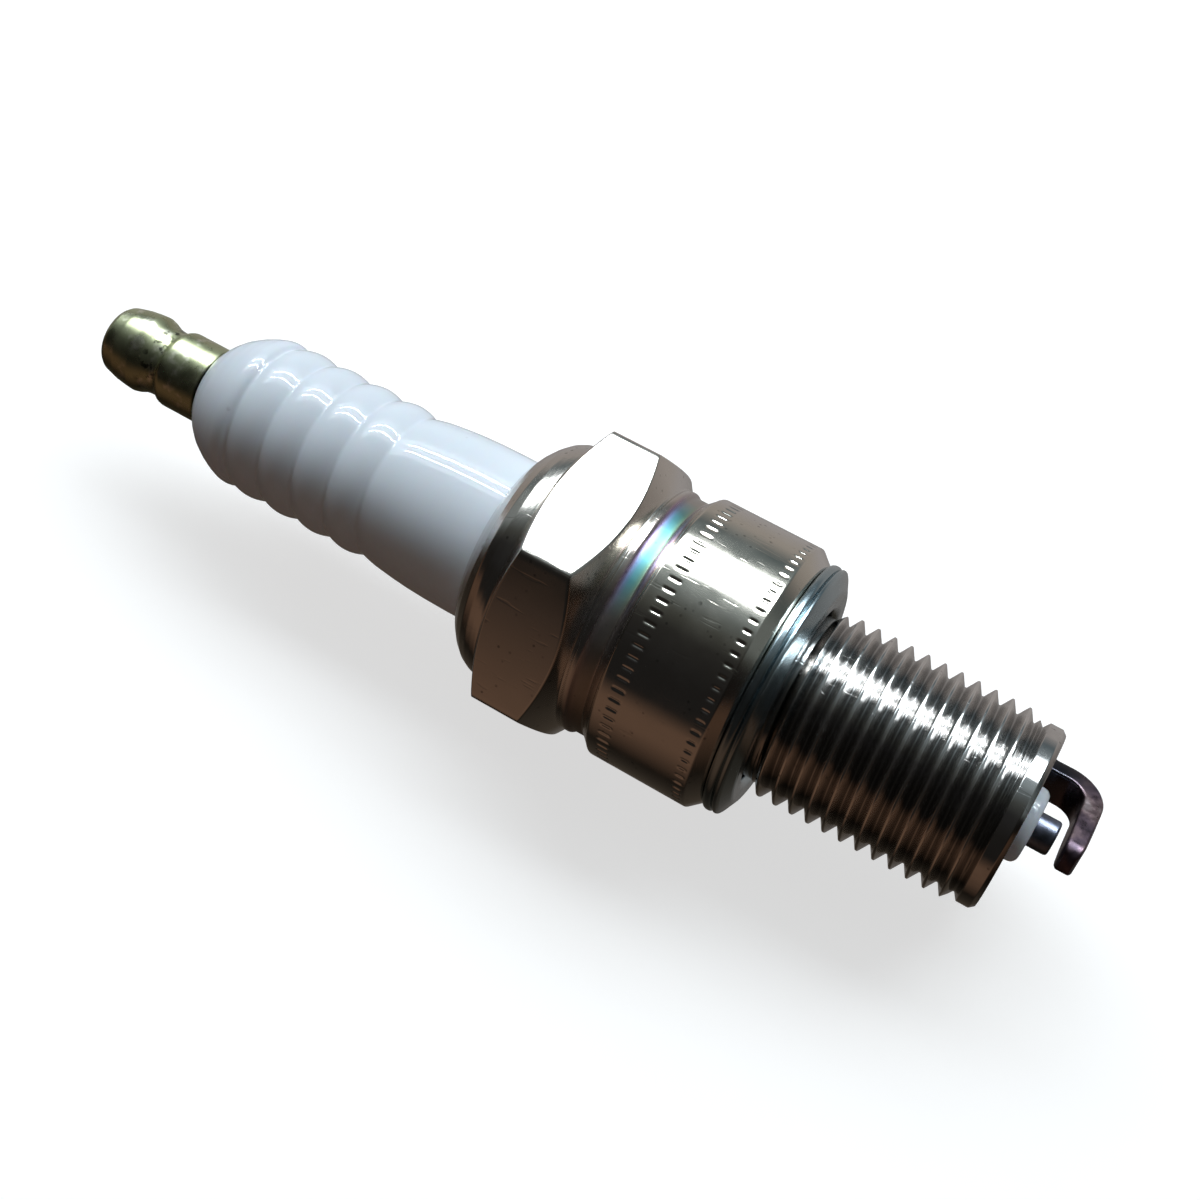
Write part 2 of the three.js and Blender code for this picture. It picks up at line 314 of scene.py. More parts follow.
class Recipe(Nodes):
    """A Principled material under construction."""

    def __init__(self, name, colour, metallic, roughness, **sockets):
        self.material = bpy.data.materials.new(name)
        self.material.use_nodes = True
        super().__init__(self.material.node_tree, "Object")
        self.shader = self.tree.nodes["Principled BSDF"]
        self.set("Base Color", (*colour, 1))
        self.set("Metallic", metallic)
        self.set("Roughness", roughness)
        for socket, value in sockets.items():
            self.set(socket.replace("_", " "), value)
        self.surface = None
        self.duller = 0.0

    def set(self, socket, source):
        self.feed(self.shader.inputs[socket], source)

    def colour(self, source):
        self.set("Base Color", source)

    def roughness(self, source):
        self.set("Roughness", source)

    def bump(self, height, distance, strength=1.0):
        """Add a bump, of a height in millimetres, over the ones already made."""
        inputs = {"Height": height, "Distance": distance * MM, "Strength": strength}
        if self.surface is not None:
            inputs["Normal"] = self.surface
        self.surface = self.node("ShaderNodeBump", inputs).outputs[0]
        self.set("Normal", self.surface)


# ---------------------------------------------------------------- materials

def plated(name, colour, roughness, mottle=0.08, tool_marks=0.004, tint=None):
    """Bright plated steel: faint colour drift, turning marks round the axis, pits and fine scratches."""
    made = Recipe(name, colour, 1.0, roughness)
    drift = made.noise(180, 3)
    dark = tuple(c * (1 - mottle) for c in colour)
    surface = made.blend(drift, dark, colour)
    pits = made.ramp(made.spots(520), [(0.0, 0.35), (0.055, 0.35), (0.1, 1.0)])
    rarely = made.ramp(made.noise(260, 2, shift=(0.3, 0, 0)), [(0.0, 1.0), (0.56, 1.0), (0.62, 0.0)])
    pitted = made.blend(rarely, pits, (1, 1, 1))
    surface = made.blend(1.0, surface, pitted, "MULTIPLY")
    specks = made.ramp(made.spots(1500, (0, 0, 0.4)), [(0.0, 0.5), (0.1, 0.55), (0.2, 1.0)])
    clusters = made.ramp(made.noise(600, 2, shift=(0, 0.6, 0)), [(0.46, 0.0), (0.6, 1.0)])
    surface = made.blend(1.0, surface, made.blend(clusters, (1, 1, 1), specks), "MULTIPLY")
    if tint is not None:
        surface = tint(made, surface)
    made.colour(surface)
    smear = made.range(made.noise(420, 4, shift=(0, 0.2, 0)), 0.3, 0.75, roughness * 0.7, roughness * 1.5)
    made.roughness(made.maths("ADD", smear, made.duller))
    turning = made.noise(1, 3, 0.6, stretch=(9000, 260, 260))
    made.bump(turning, tool_marks)
    scratch = made.noise(1, 1, 0.4, stretch=(420, 5200, 900), shift=(7, 3, 1))
    made.bump(made.ramp(scratch, [(0.0, 1.0), (0.68, 1.0), (0.74, 0.0)]), 0.006, 0.5)
    return made


def heat_tint(made, surface):
    """Temper colours across the thin groove: violet at its sides, blue and green between. Low down the bands
    shift greener and fade to a darker, warmer plain colour, which is painted shade.
    """
    drift = made.range(made.noise(220, 2), 0, 1, -0.1 * MM, 0.1 * MM)
    # Painted light: the bands move with height, greener on the lower side.
    height = made.range(made.axis("Z"), 5.5 * MM, 9.2 * MM, 0.12 * MM, -0.06 * MM)
    x = made.maths("ADD", made.maths("ADD", made.axis("X"), drift), height)
    start, end = GROOVE_TINT_SPAN
    across = made.range(x, start * MM, end * MM, 0.0, 1.0)
    made.duller = made.ramp(across, [(0.12, 0.0), (0.3, 0.24), (0.75, 0.24), (0.88, 0.0)])
    colours = made.ramp(across, [
        (0.00, (1.00, 0.96, 0.90)), (0.14, (0.95, 0.80, 0.74)), (0.22, (0.58, 0.42, 0.66)),
        (0.32, (0.28, 0.38, 0.66)), (0.46, (0.15, 0.42, 0.50)), (0.60, (0.16, 0.42, 0.42)),
        (0.72, (0.26, 0.44, 0.32)), (0.82, (0.56, 0.40, 0.44)), (0.90, (1.00, 0.96, 0.86)),
    ])
    # Painted shade: low down the tint fades into a darker, warmer plain colour.
    strength = made.range(made.axis("Z"), 7.4 * MM, 8.7 * MM, 0.12, 1.0)
    painted_low_shade = (0.60, 0.52, 0.48)
    plain = made.ramp(across, [(0.12, 1.0), (0.3, painted_low_shade), (0.75, painted_low_shade), (0.88, 1.0)])
    return made.blend(1.0, surface, made.blend(strength, plain, colours), "MULTIPLY")


def thread_root_shade(made, surface):
    """Painted shade: darker towards the root of the thread, lighter along its crest."""
    y, z = made.axis("Y"), made.axis("Z")
    square = made.maths("ADD", made.maths("MULTIPLY", y, y), made.maths("MULTIPLY", z, z))
    radius = made.maths("SQRT", square)
    uneven = made.range(made.noise(500, 4), 0.3, 0.7, -0.08 * MM, 0.08 * MM)
    depth = made.range(made.maths("ADD", radius, uneven), THREAD_ROOT * MM, THREAD_RADIUS * MM, 0.0, 1.0)
    shade = made.ramp(depth, [(0.0, 0.5), (0.35, 0.6), (0.66, 0.9), (0.9, 1.0)])
    return made.blend(1.0, surface, shade, "MULTIPLY")


def shell_material():
    return plated("bright_nickel_plate", (0.73, 0.71, 0.69), roughness=0.14, tool_marks=0.0012,
                  tint=heat_tint).material


def thread_material():
    return plated("rolled_thread_nickel", (0.80, 0.78, 0.76), roughness=0.1, mottle=0.12, tool_marks=0.0015,
                  tint=thread_root_shade).material


def glaze_material():
    """White alumina under a clear glaze, with faint firing specks and a slow ripple in the glaze."""
    made = Recipe("glazed_alumina", (0.85, 0.90, 0.97), 0.0, 0.32, Coat_Weight=1.0, Coat_Roughness=0.03,
                  Coat_IOR=1.42, Specular_IOR_Level=0.0, Subsurface_Weight=0.08, Subsurface_Scale=0.0012)
    body = made.blend(made.noise(90, 3), (0.83, 0.88, 0.96), (0.87, 0.92, 0.98))
    rarely = made.ramp(made.noise(140, 2, shift=(1, 0, 0)), [(0.0, 1.0), (0.55, 1.0), (0.6, 0.0)])
    specks = made.ramp(made.spots(260, (0.5, 0, 0)), [(0.0, 0.55), (0.035, 0.7), (0.06, 1.0)])
    body = made.blend(1.0, body, made.blend(rarely, specks, (1, 1, 1)), "MULTIPLY")
    # Painted shade: a dark purple band along the insulator's top edge, where the terminal sits on it.
    seam_shade = made.ramp(made.range(made.axis("X"), INSULATOR_TOP * MM, (INSULATOR_TOP + 0.3) * MM, 0, 1),
                     [(0.0, (0.10, 0.08, 0.14)), (0.4, (0.14, 0.11, 0.18)), (1.0, (1.0, 1.0, 1.0))])
    made.colour(made.blend(1.0, body, seam_shade, "MULTIPLY"))
    made.bump(made.noise(260, 2), 0.014, 0.5)
    made.bump(made.noise(1000, 2), 0.005, 0.5)
    return made.material


def terminal_material():
    """Yellow-passivated brass with olive shade, turning marks and handling wear."""
    made = Recipe("yellow_passivated_brass", (0.58, 0.59, 0.36), 1.0, 0.3)
    drift = made.blend(made.noise(320, 4), (0.34, 0.37, 0.23), (0.56, 0.57, 0.35))
    worn = made.ramp(made.noise(900, 3, shift=(2, 0, 0)), [(0.55, 0.0), (0.72, 1.0)])
    surface = made.blend(worn, drift, (0.78, 0.76, 0.62))
    start, end = TERMINAL_NECK_SPAN
    neck = made.ramp(made.range(made.axis("X"), start * MM, end * MM, 0, 1),
                     [(0.0, 0.0), (0.3, 1.0), (0.7, 1.0), (1.0, 0.0)])
    marks = made.ramp(made.noise(1500, 3, shift=(0, 5, 0)), [(0.56, 1.0), (0.62, 0.25)])
    surface = made.blend(1.0, surface, made.blend(neck, (1, 1, 1), marks), "MULTIPLY")
    # Painted shade: the collar darkens nearly to black over its last 0.3 mm, where it sits on the insulator.
    foot_shade_mask = made.range(made.axis("X"), (TERMINAL_BASE - 0.3) * MM, (TERMINAL_BASE - 0.1) * MM, 0, 1)
    seam_shade = made.ramp(foot_shade_mask, [(0.0, 1.0), (1.0, 0.08)])
    made.colour(made.blend(1.0, surface, seam_shade, "MULTIPLY"))
    made.roughness(made.range(made.noise(600, 4), 0.3, 0.7, 0.22, 0.38))
    made.bump(made.noise(1, 3, 0.6, stretch=(7000, 260, 260)), 0.003)
    made.bump(made.noise(700, 3), 0.01, 0.5)
    return made.material


def gasket_material():
    """Blue-white zinc plate with a pressed grain."""
    made = Recipe("blue_zinc_plate", (0.38, 0.45, 0.48), 1.0, 0.2)
    made.colour(made.blend(made.noise(240, 3), (0.33, 0.40, 0.43), (0.42, 0.50, 0.53)))
    made.roughness(made.range(made.noise(600, 3), 0.3, 0.7, 0.15, 0.24))
    made.bump(made.noise(1, 2, 0.5, stretch=(5200, 200, 200)), 0.001)
    return made.material


def electrode_material():
    """Dark nickel alloy, drawn grain along its length."""
    made = Recipe("dark_nickel_alloy", (0.17, 0.19, 0.25), 1.0, 0.3)
    made.colour(made.blend(made.noise(700, 4), (0.10, 0.11, 0.15), (0.25, 0.27, 0.34)))
    made.roughness(made.range(made.noise(1100, 3), 0.3, 0.7, 0.22, 0.45))
    made.bump(made.noise(1, 3, 0.6, stretch=(500, 6000, 6000)), 0.006)
    return made.material


def strap_material():
    """Heat-tinted nickel strap: purple-brown patina with bare patches and a sheared grain."""
    made = Recipe("heat_tinted_strap", (0.24, 0.18, 0.20), 1.0, 0.34)
    patina = made.ramp(made.noise(420, 5), [
        (0.28, (0.06, 0.05, 0.07)), (0.46, (0.12, 0.085, 0.105)), (0.58, (0.21, 0.15, 0.155)),
        (0.72, (0.40, 0.36, 0.36)),
    ])
    leg = made.range(made.axis("X"), (REACH + 1.2) * MM, (STRAP_OUTER - 1.2) * MM, 0, 1)
    made.colour(made.blend(leg, (0.05, 0.05, 0.06), patina))
    made.roughness(made.blend(leg, (0.2, 0.2, 0.2), made.range(made.noise(1500, 4), 0.3, 0.7, 0.24, 0.5)))
    made.bump(made.noise(2400, 5), 0.012)
    return made.material


def dull_material(name, low, high, metallic, roughness, scale, grain):
    """For the stud and the inner pieces: mottled colour, uneven roughness and a fine grain."""
    made = Recipe(name, high, metallic, roughness)
    made.colour(made.blend(made.noise(scale, 5), low, high))
    made.roughness(made.range(made.noise(scale * 2, 4), 0.3, 0.7, roughness * 0.8, min(1, roughness * 1.3)))
    made.bump(made.noise(scale * 4, 4), grain)
    return made.material


def stud_material():
    return dull_material("rolled_stud_steel", (0.42, 0.42, 0.40), (0.62, 0.61, 0.58), 1.0, 0.3, 500, 0.004)


# ---------------------------------------------------------------- shell

def crowned_flat(off):
    """A hex flat's radius at an angle from its middle. It falls away by the crown at its corners."""
    to_corner = np.tan(off) / math.tan(math.pi / 6)
    return (FLAT_RADIUS - FLAT_CROWN * to_corner ** 2) / np.cos(off)


def hexed(x, r, angle):
    """Flats cut into the turned blank: each point keeps the lesser of the flat's and the blank's radius."""
    sixth = math.pi / 3
    off = np.mod(angle - math.pi / 2 + sixth / 2, sixth) - sixth / 2
    flats = smooth_least(crowned_flat(off), crowned_flat(sixth - np.abs(off)), HEX_EDGE_ROUNDING * 2)
    cut = smooth_least(flats, r, HEX_EDGE_ROUNDING)
    return np.where((x > HEX_START - 0.4) & (x < HEX_END + 0.3), cut, r)


def shell_head(material):
    outer = soften([
        (LIP_EDGE + 0.05, LIP_BORE + 0.1), (LIP_EDGE, 6.8), (LIP_EDGE + 0.12, 7.1), (-20.8, 7.7),
        (-20.3, 8.3), (-19.7, 8.82), (-19.1, 9.12), (-18.6, 9.26), (-18.2, 9.33), (-18.02, 9.3),
        (HEX_START, CHAMFER_RADIUS - 0.2), (HEX_START + 0.06, CHAMFER_RADIUS + 0.1),
        (HEX_EDGE_START, HEX_TURNED_RADIUS + 0.06), (HEX_EDGE_END, HEX_TURNED_RADIUS + 0.06),
        (HEX_END, CHAMFER_RADIUS), (-11.35, 9.42), (-11.2, 9.42), (-11.05, 9.5), (-10.75, 9.5),
        (-10.55, 9.34), (-10.35, GROOVE_RADIUS), (GROOVE_END, GROOVE_RADIUS), (JOIN_X, JOIN_RADIUS),
    ], step=0.055)
    inner = soften([
        (LIP_EDGE + 0.05, LIP_BORE), (-20.6, LIP_BORE), (-20.2, 7.0), (-19.1, CAVITY_RADIUS),
        (JOIN_X, CAVITY_RADIUS),
    ], step=0.4, passes=0)
    return spun("shell_head", outer, inner, material, columns=432, shape=hexed)


def dashed(x, r, angle):
    """Two rows of short knurl marks pressed into the barrel."""
    turn = angle * DASH_COUNT / (2 * math.pi)
    off = (np.mod(turn, 1) - 0.5) * 2 * math.pi * BARREL_RADIUS / DASH_COUNT
    across = np.clip(1 - np.abs(off) / (DASH_WIDTH / 2), 0, 1)
    depth = np.zeros(np.broadcast(x, angle).shape)
    for start, end in DASH_ROWS:
        middle, half = (start + end) / 2, (end - start) / 2
        along = np.clip((half - np.abs(x - middle)) / DASH_END_SLOPE, 0, 1)
        depth = np.maximum(depth, across * along)
    return r - DASH_DEPTH * depth * (r > SEAT_RADIUS + 0.2)


def shell_barrel(material):
    outer = soften([
        (JOIN_X, JOIN_RADIUS), (BARREL_START, BARREL_RADIUS), (BARREL_END, BARREL_RADIUS),
        (0, SEAT_RADIUS), (0, NECK_RADIUS + 0.1),
    ], step=0.09, passes=1)
    inner = soften([
        (JOIN_X, CAVITY_RADIUS), (-4.6, CAVITY_RADIUS), (-2.5, 5.9), (-1.5, 5.9),
        (-0.4, SEAT_BORE), (0, SEAT_BORE),
    ], step=0.6, passes=0)
    return spun("shell_barrel", outer, inner, material, columns=DASH_COUNT * 10, shape=dashed)


def thread(x, angle, crest, root, pitch, start, end, flat):
    """The radius of a V thread with a small crest flat, run out at both ends. A crest passes x = 0 at
    angle 0."""
    turn = x / pitch - angle / (2 * math.pi)
    off = np.abs(np.mod(turn + 0.5, 1) - 0.5) * pitch
    slope = (crest - root) / (pitch / 2 - flat - ROOT_FLAT)
    ridge = np.maximum(crest - np.maximum(0, off - flat) * slope, root)
    run_out = root + np.minimum(x - start, end - x) * RUN_OUT_SLOPE
    return smooth_least(ridge, np.maximum(root, run_out), ROOT_FILLET)


def threaded(x, r, angle):
    radius = thread(x - CREST_AT, angle - CREST_ANGLE, THREAD_RADIUS, THREAD_ROOT, THREAD_PITCH,
                    THREAD_START - CREST_AT, THREAD_END - CREST_AT, THREAD_FLAT)
    return np.where((x > THREAD_START) & (x < THREAD_END), radius, r)


def shell_shank(material):
    outer = soften([
        (0, NECK_RADIUS), (THREAD_START, NECK_RADIUS), (THREAD_END, NECK_RADIUS),
        (THREAD_END + 0.35, PILOT_RADIUS), (REACH - 0.35, PILOT_RADIUS), (REACH, PILOT_RADIUS - 0.3),
        (REACH, SHANK_BORE + 0.12),
    ], step=0.042, passes=1)
    inner = soften([
        (0, SEAT_BORE), (1.5, SEAT_BORE), (2.2, SHANK_BORE), (REACH - 0.12, SHANK_BORE),
        (REACH, SHANK_BORE + 0.06),
    ], step=0.5, passes=0)
    return spun("shell_shank", outer, inner, material, columns=240, shape=threaded)


# ---------------------------------------------------------------- insulator, terminal, gasket, electrodes

def insulator_outline():
    dome = [
        (INSULATOR_TOP, 2.9), (INSULATOR_TOP + 0.03, 3.15), (-47.1, 3.5), (-46.6, 4.08), (-45.9, 4.7),
        (-45.0, 5.25), (-44.2, 5.62), (-43.5, 5.86), (-43.1, 5.9), (-42.75, 5.84),
    ]
    pitch = (LAST_VALLEY - FIRST_VALLEY) / (VALLEY_COUNT - 1)
    ribs = []
    for i in range(VALLEY_COUNT - 1):
        for t in np.linspace(0, 1, RIB_POINTS, endpoint=False):
            rise = math.sin(math.pi * t) ** RIB_FULLNESS
            radius = RIB_VALLEY_RADIUS + (RIB_CREST_RADIUS - RIB_VALLEY_RADIUS) * rise
            ribs.append((FIRST_VALLEY + (i + t) * pitch, radius))
    waist = [
        (LAST_VALLEY, RIB_VALLEY_RADIUS), (-30.3, 5.7), (-29.6, 5.86), (-29.0, 5.95), (-27.7, 6.1),
        (-26.5, 6.2), (-25.0, 6.27), (-23.2, INSULATOR_RADIUS), (-15.0, INSULATOR_RADIUS),
    ]
    flange = [(-14.2, 7.7), (-6.4, 7.7), (-4.6, 5.6), (-2.4, 5.6), (-1.3, 4.5), (2.5, 4.4)]
    nose = [
        (INSULATOR_TIP - 1.5, NOSE_RADIUS + 0.1), (INSULATOR_TIP - 0.3, NOSE_RADIUS),
        (INSULATOR_TIP, NOSE_RADIUS - 0.32), (INSULATOR_TIP, ELECTRODE_BORE + 0.1),
    ]
    return dome + ribs + waist + flange + nose


def insulator(material):
    bore = [
        (INSULATOR_TOP, CORE_BORE), (-6.0, CORE_BORE), (-5.4, ELECTRODE_BORE),
        (INSULATOR_TIP - 0.05, ELECTRODE_BORE),
    ]
    outer = soften(insulator_outline(), step=0.12)
    inner = soften(bore, step=1.0, passes=0)
    return spun("insulator_body", outer, inner, material, columns=224)


def terminal_nut(material):
    outer = soften([
        (TERMINAL_TOP, 0.3), (TERMINAL_TOP, 1.05), (-57.3, 1.3), (-56.6, 2.42), (-56.3, 2.65),
        (-55.2, 2.93), (-54.4, 3.04), (-53.7, TERMINAL_RADIUS), (-53.35, 3.02), (-52.75, 2.76),
        (-52.3, 2.68), (-51.7, 2.64), (-51.4, 2.68), (-51.2, 2.88), (-51.05, 2.99),
        (-50.8, TERMINAL_COLLAR), (TERMINAL_BASE - 0.1, TERMINAL_COLLAR),
        (TERMINAL_BASE, TERMINAL_COLLAR - 0.12), (TERMINAL_BASE, TERMINAL_BORE + 0.15),
        (TERMINAL_BASE - 0.15, TERMINAL_BORE), (-55.6, TERMINAL_BORE), (-55.6, 0.3),
    ], step=0.05)
    return spun("terminal_nut_body", outer, None, material, columns=160)


def stud_threaded(x, r, angle):
    radius = thread(x, angle, STUD_RADIUS, STUD_ROOT, STUD_PITCH, STUD_TOP - 0.4, STUD_THREAD_END,
                    STUD_THREAD_FLAT)
    return np.where(x < STUD_THREAD_END, np.minimum(radius, r), r)


def terminal_stud(material):
    """The steel stud under the terminal nut: threaded where the nut screws on, then plain."""
    outer = soften([
        (STUD_TOP, 0.2), (STUD_TOP, STUD_ROOT - 0.15), (STUD_TOP + 0.45, STUD_RADIUS),
        (STUD_THREAD_END, STUD_RADIUS), (STUD_FOOT - 0.4, STUD_RADIUS), (STUD_FOOT, STUD_RADIUS - 0.4),
        (STUD_FOOT, 0.2),
    ], step=0.05, passes=1)
    return spun("terminal_stud_body", outer, None, material, columns=96, shape=stud_threaded)


def gasket(material):
    start, end = GASKET_LOW.x, GASKET_HIGH.x
    rim = start + 1.2
    outer = soften([
        (start, GASKET_BORE + 0.15), (start, GASKET_RADIUS - 0.28), (start + 0.1, GASKET_RADIUS - 0.07),
        (start + 0.28, GASKET_RADIUS), (start + 0.5, GASKET_RADIUS), (start + 0.66, GASKET_RADIUS - 0.1),
        (start + 0.72, GASKET_RADIUS - 0.3), (start + 0.78, GASKET_RADIUS - 0.12),
        (start + 0.9, GASKET_RADIUS - 0.03), (rim - 0.14, GASKET_RADIUS - 0.08), (rim, GASKET_RADIUS - 0.3),
        (end - 0.05, GASKET_RADIUS - 1.25), (end, GASKET_RADIUS - 1.45), (end, GASKET_BORE + 0.55),
    ], step=0.05, passes=1)
    inner = soften([
        (start + 0.12, GASKET_BORE), (end - 0.4, GASKET_BORE), (end - 0.16, GASKET_BORE + 0.14),
        (end - 0.04, GASKET_BORE + 0.36),
    ], step=0.1, passes=1)
    return spun("gasket_ring", outer, inner, material, columns=288)


def centre_electrode(material):
    outer = soften([
        (17.6, 0.2), (17.6, 0.7), (-7.2, 0.7), (-7.2, 2.05), (-6.1, 2.05), (-5.5, ELECTRODE_RADIUS),
        (ELECTRODE_TIP - 0.14, ELECTRODE_RADIUS), (ELECTRODE_TIP - 0.04, ELECTRODE_RADIUS - 0.04),
        (ELECTRODE_TIP, ELECTRODE_RADIUS - 0.14), (ELECTRODE_TIP, 0.2),
    ], step=0.12, passes=1)
    return spun("centre_electrode_sheath", outer, None, material, columns=96)


def strap_path():
    """Points and directions down the strap's middle, from the weld to the free end, in its own plane."""
    middle = STRAP_OUTER - STRAP_THICKNESS / 2
    turn_x = middle - STRAP_BEND
    turn_y = STRAP_RADIUS - STRAP_BEND
    path = [((x, STRAP_RADIUS), (1.0, 0.0)) for x in np.linspace(REACH, turn_x, 8)[:-1]]
    for angle in np.linspace(math.pi / 2, 0, 22):
        at = (turn_x + STRAP_BEND * math.cos(angle), turn_y + STRAP_BEND * math.sin(angle))
        path.append((at, (math.sin(angle), -math.cos(angle))))
    path += [((middle, y), (0.0, -1.0)) for y in np.linspace(turn_y, -STRAP_REACH, 18)[1:]]
    return path


def strap_section(thick, wide, corner=0.22, arc_steps=5):
    """A flat bar's rounded section, as (across the thickness, across the width) points."""
    points = []
    for k, (sx, sy) in enumerate(((1, 1), (-1, 1), (-1, -1), (1, -1))):
        cx, cy = sx * (thick / 2 - corner), sy * (wide / 2 - corner)
        for step in range(arc_steps):
            angle = k * math.pi / 2 + step * math.pi / 2 / (arc_steps - 1)
            points.append((cx + corner * math.cos(angle), cy + corner * math.sin(angle)))
    return points


def ground_electrode(material):
    """A flat bar bent over the tip: flared at its weld, narrowed and rounded off at its free end."""
    path = strap_path()
    last = len(path) - 1
    first_eased = len(path) - len(STRAP_END_EASE)
    verts, rings = [], []
    for k, ((x, y), (dx, dy)) in enumerate(path):
        flare = 1 + STRAP_FLARE * max(0, 1 - k / 2)
        narrowed = max(0, (k / last - STRAP_TAPER_FROM) / (1 - STRAP_TAPER_FROM))
        taper = 1 - STRAP_TAPER * narrowed ** 2
        ease = STRAP_END_EASE[k - first_eased] if k >= first_eased else 1.0
        thick = STRAP_THICKNESS * min(1.0, flare * taper) * ease
        wide = STRAP_WIDTH * flare * taper * ease
        ring = []
        for across, side in strap_section(thick, wide):
            ring.append(len(verts))
            verts.append((x - dy * across, y + dx * across, side))
        rings.append(ring)
    piece = bar_mesh("ground_electrode_strap", verts, rings, material)
    piece.data.transform(Matrix.Rotation(STRAP_TURN, 4, "X"))
    return piece


def bar_mesh(name, verts, rings, material):
    """A closed bar from rings of vertex numbers: quads between them, and a flat face at each end."""
    count = len(rings[0])
    faces = []
    for a, b in zip(rings[:-1], rings[1:]):
        faces += [(a[i], a[(i + 1) % count], b[(i + 1) % count], b[i]) for i in range(count)]
    bm = bmesh.new()
    made = [bm.verts.new(Vector(v) * MM) for v in verts]
    for face in faces:
        bm.faces.new([made[i] for i in face])
    bm.faces.new([made[i] for i in reversed(rings[0])])
    bm.faces.new([made[i] for i in rings[-1]])
    bmesh.ops.recalc_face_normals(bm, faces=bm.faces)
    for face in bm.faces:
        face.smooth = True
    mesh = bpy.data.meshes.new(name)
    bm.to_mesh(mesh)
    bm.free()
    mesh.materials.append(material)
    piece = bpy.data.objects.new(name, mesh)
    bpy.context.scene.collection.objects.link(piece)
    return piece


# ---------------------------------------------------------------- assembly

def stand_for(piece, node, body, sharp_over):
    """A finished piece takes a CAD node's place. Edges that turn by more than sharp_over degrees are
    shaded sharp."""
    piece.data.set_sharp_from_angle(angle=math.radians(sharp_over))
    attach(piece, body)
    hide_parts(node)


def build_visible_pieces():
    nickel = shell_material()
    stand_for(shell_head(nickel), "shell", "plug_body", 60)
    stand_for(shell_barrel(nickel), "shell", "plug_body", 60)
    stand_for(shell_shank(thread_material()), "shell", "plug_body", 60)
    stand_for(insulator(glaze_material()), "insulator", "plug_body", 60)
    stand_for(terminal_nut(terminal_material()), "terminal_nut", "terminal_nut", 50)
    stand_for(terminal_stud(stud_material()), "terminal_stud", "plug_body", 50)
    stand_for(gasket(gasket_material()), "gasket", "gasket", 50)
    stand_for(centre_electrode(electrode_material()),
              "centre_electrode", "plug_body", 50)
    stand_for(ground_electrode(strap_material()), "ground_electrode", "plug_body", 50)


def dress_inner_nodes():
    steel = dull_material("drawn_steel", (0.40, 0.40, 0.39), (0.60, 0.60, 0.58), 1.0, 0.35, 500, 0.006)
    talc = dull_material("pressed_talc", (0.70, 0.67, 0.60), (0.86, 0.83, 0.77), 0.0, 0.9, 700, 0.03)
    glass = dull_material("fused_seal_glass", (0.10, 0.13, 0.16), (0.24, 0.28, 0.32), 0.2, 0.3, 600, 0.01)
    carbon = dull_material("resistor_carbon", (0.05, 0.05, 0.05), (0.14, 0.12, 0.11), 0.0, 0.8, 900, 0.02)
    copper = dull_material("bright_copper", (0.58, 0.30, 0.18), (0.80, 0.46, 0.30), 1.0, 0.3, 500, 0.005)
    finishes = {
        "upper_packing_ring": steel, "lower_packing_ring": steel, "seat_packing_washer": steel,
        "talc_ring": talc, "upper_glass_seal": glass, "lower_glass_seal": glass,
        "resistor": carbon, "copper_core": copper,
    }
    for node, material in finishes.items():
        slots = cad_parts[node].data.materials
        slots.clear()
        slots.append(material)


# ---------------------------------------------------------------- floor, light, camera

FLOOR_SIZE = 6.0
FLOOR_LIFT = 0.66
CAMERA_TARGET = Vector((-13.43, -0.27, -0.15)) * MM
CAMERA_AZIMUTH = math.radians(26.12)
CAMERA_ELEVATION = math.radians(57.17)
CAMERA_ROLL = math.radians(5.94)
CAMERA_DISTANCE = 119.58 * MM
CAMERA_LENS = 50.6


def build_floor():
    made = Recipe("pale_floor", (0.5, 0.5, 0.5), 0.0, 0.8, Emission_Strength=FLOOR_LIFT)
    made.colour(made.blend(made.noise(30, 3), (0.49, 0.48, 0.47), (0.51, 0.50, 0.49)))
    made.set("Emission Color", (1, 1, 1, 1))
    half = FLOOR_SIZE / 2 / MM
    level = -FLAT_RADIUS
    corners = [(-half, -half, level), (half, -half, level), (half, half, level), (-half, half, level)]
    floor = mesh_object("floor", corners, [(0, 1, 2, 3)], made.material)
    floor.visible_glossy = False
    floor.visible_diffuse = False
    floor.visible_shadow = False


# The room at each angle round the plug's axis, from -Y at 0 up over +Z at 90: pale wall behind and
# below, a dark gap, a warm table edge in front, a dark wall above it, then a pale blue window wall.
WALL = (0.36, 0.34, 0.33)
GAP = (0.010, 0.008, 0.006)
TABLE = (0.12, 0.07, 0.045)
DARK_WALL = (0.013, 0.012, 0.011)
WINDOW_WALL = (0.26, 0.31, 0.33)
ROOM = (
    (-180, WALL), (-145, WALL), (-100, (0.05, 0.04, 0.03)), (-62, GAP), (-27, TABLE), (-10, TABLE),
    (5, DARK_WALL), (34, DARK_WALL), (62, (0.024, 0.024, 0.024)), (76, (0.06, 0.064, 0.06)),
    (88, (0.12, 0.14, 0.145)), (99, WINDOW_WALL), (140, WINDOW_WALL), (160, (0.10, 0.13, 0.145)),
    (180, WALL),
)
TIP_SIDE_DIMMING = (0.56, 0.54, 0.52)
CAP_SIDE_DIMMING = (0.80, 0.77, 0.75)
ROOM_SEEN = (0.93, 0.93, 0.93)
DAYLIGHT = (0.86, 0.94, 1.0)
WARM_BOUNCE = (1.0, 0.82, 0.74)


